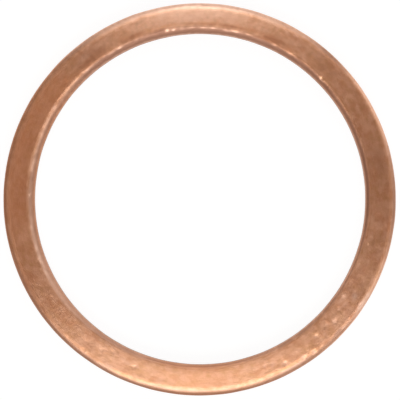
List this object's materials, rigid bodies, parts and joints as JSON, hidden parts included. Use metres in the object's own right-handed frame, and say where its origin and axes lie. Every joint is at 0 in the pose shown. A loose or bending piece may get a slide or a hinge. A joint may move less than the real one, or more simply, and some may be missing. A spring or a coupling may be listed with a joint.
{
  "type": "drain plug seal ring",
  "caption": "Flat solid copper sealing ring with rolled upper edges, clamped under the head of a drain plug to seal its thread.",
  "frame": {"origin": "centre of the lower sealing face, on the ring's axis", "axes": "+Z along the ring's axis, from the lower face to the upper one, whose edges are rolled; X and Y lie in the lower face"},
  "size_m": [0.032, 0.032, 0.002],
  "materials": {
    "copper": "soft annealed copper, matt and unplated, with a brown tinge and fine tumbling marks"
  },
  "bodies": {
    "root": {"seal_ring": "copper"}
  },
  "joints": []
}
